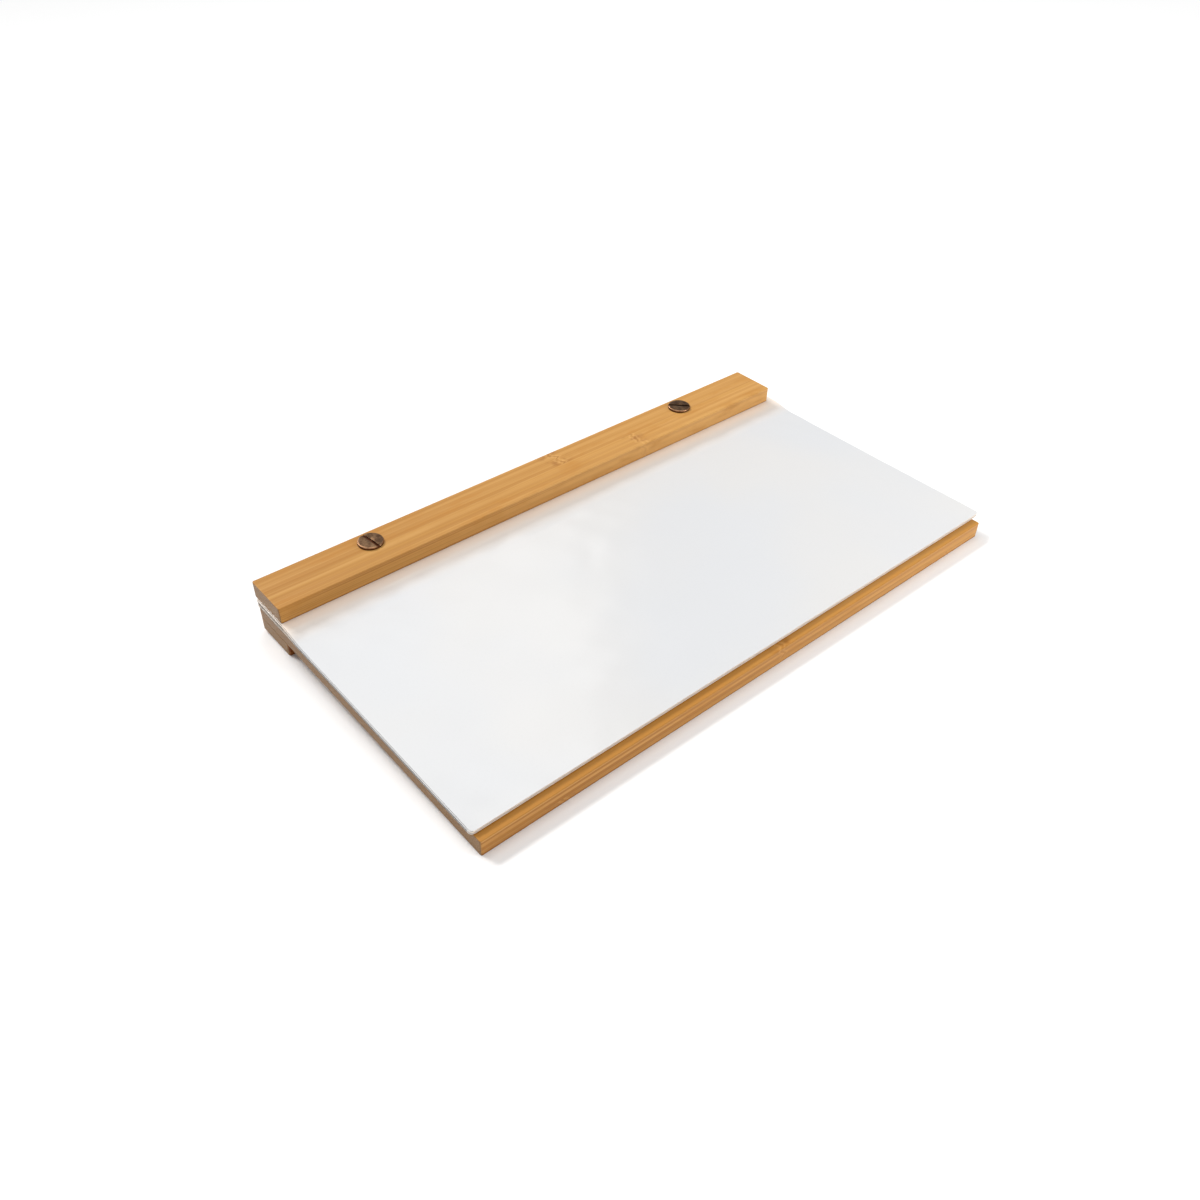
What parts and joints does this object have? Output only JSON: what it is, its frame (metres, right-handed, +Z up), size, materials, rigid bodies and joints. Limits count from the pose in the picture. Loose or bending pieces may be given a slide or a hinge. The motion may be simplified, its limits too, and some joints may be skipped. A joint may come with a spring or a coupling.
{
  "type": "portable drawing board",
  "caption": "Bamboo drawing board on a rear foot, with a bamboo bar that clamps a pad of glossy white leaves along its back edge by two slotted binding screws.",
  "frame": {"origin": "middle of the bottom of the bounding box, on the table that the board stands on", "axes": "+X along the clamp bar to the right, -Y towards the user at the low front edge, +Z up from the table"},
  "size_m": [0.304, 0.1664, 0.0293],
  "materials": {
    "bamboo_board": "pale laminated bamboo, satin lacquer",
    "bamboo_foot": "pale laminated bamboo, satin lacquer",
    "bamboo_bar": "pale laminated bamboo, satin lacquer",
    "screw_bronze": "antique bronze, dark with rubbed coppery edges",
    "post_bronze": "antique bronze, satin",
    "leaf_plastic": "glossy white flexible sheet"
  },
  "bodies": {
    "base": {"base_board": "bamboo_board", "rear_foot": "bamboo_foot", "post_left": "post_bronze", "post_right": "post_bronze", "strip_1": "leaf_plastic", "strip_2": "leaf_plastic", "strip_3": "leaf_plastic", "strip_4": "leaf_plastic", "strip_5": "leaf_plastic", "strip_6": "leaf_plastic", "strip_7": "leaf_plastic", "strip_8": "leaf_plastic"},
    "clamp_bar": {"clamp_bar": "bamboo_bar"},
    "screw_left": {"screw_left": "screw_bronze"},
    "screw_right": {"screw_right": "screw_bronze"},
    "page_1": {"page_1": "leaf_plastic"},
    "page_2": {"page_2": "leaf_plastic"},
    "page_3": {"page_3": "leaf_plastic"},
    "page_4": {"page_4": "leaf_plastic"},
    "page_5": {"page_5": "leaf_plastic"},
    "page_6": {"page_6": "leaf_plastic"},
    "page_7": {"page_7": "leaf_plastic"},
    "page_8": {"page_8": "leaf_plastic"}
  },
  "joints": [
    {"name": "clamp_lift", "type": "slide", "parent": "base", "child": "clamp_bar", "axis": [0, -0.0492, 0.9988], "range_m": [0, 0.00332]},
    {"name": "screw_left_turn", "type": "hinge", "parent": "clamp_bar", "child": "screw_left", "pos_m": [-0.096, 0.07395, 0.02775], "axis": [0, -0.0492, 0.9988], "range_deg": [0, 1711]},
    {"name": "screw_right_turn", "type": "hinge", "parent": "clamp_bar", "child": "screw_right", "pos_m": [0.096, 0.07395, 0.02775], "axis": [0, -0.0492, 0.9988], "range_deg": [0, 1711]},
    {"name": "page_1_turn", "type": "hinge", "parent": "base", "child": "page_1", "pos_m": [0, 0.05806, 0.01896], "axis": [-1, 0, 0], "range_deg": [0, 85]},
    {"name": "page_2_turn", "type": "hinge", "parent": "base", "child": "page_2", "pos_m": [0, 0.05779, 0.01845], "axis": [-1, 0, 0], "range_deg": [0, 85]},
    {"name": "page_3_turn", "type": "hinge", "parent": "base", "child": "page_3", "pos_m": [0, 0.05751, 0.01793], "axis": [-1, 0, 0], "range_deg": [0, 85]},
    {"name": "page_4_turn", "type": "hinge", "parent": "base", "child": "page_4", "pos_m": [0, 0.05724, 0.01742], "axis": [-1, 0, 0], "range_deg": [0, 85]},
    {"name": "page_5_turn", "type": "hinge", "parent": "base", "child": "page_5", "pos_m": [0, 0.05696, 0.01691], "axis": [-1, 0, 0], "range_deg": [0, 85]},
    {"name": "page_6_turn", "type": "hinge", "parent": "base", "child": "page_6", "pos_m": [0, 0.05669, 0.01639], "axis": [-1, 0, 0], "range_deg": [0, 85]},
    {"name": "page_7_turn", "type": "hinge", "parent": "base", "child": "page_7", "pos_m": [0, 0.05641, 0.01588], "axis": [-1, 0, 0], "range_deg": [0, 85]},
    {"name": "page_8_turn", "type": "hinge", "parent": "base", "child": "page_8", "pos_m": [0, 0.05614, 0.01536], "axis": [-1, 0, 0], "range_deg": [0, 85]}
  ],
  "couplings": [
    {"joint": "screw_left_turn", "follows": "clamp_lift", "rad_per_m": 8976},
    {"joint": "screw_right_turn", "follows": "clamp_lift", "rad_per_m": 8976},
    {"joint": "page_2_turn", "follows": "page_1_turn", "ratio": 0.875},
    {"joint": "page_3_turn", "follows": "page_1_turn", "ratio": 0.75},
    {"joint": "page_4_turn", "follows": "page_1_turn", "ratio": 0.625},
    {"joint": "page_5_turn", "follows": "page_1_turn", "ratio": 0.5},
    {"joint": "page_6_turn", "follows": "page_1_turn", "ratio": 0.375},
    {"joint": "page_7_turn", "follows": "page_1_turn", "ratio": 0.25},
    {"joint": "page_8_turn", "follows": "page_1_turn", "ratio": 0.125}
  ]
}
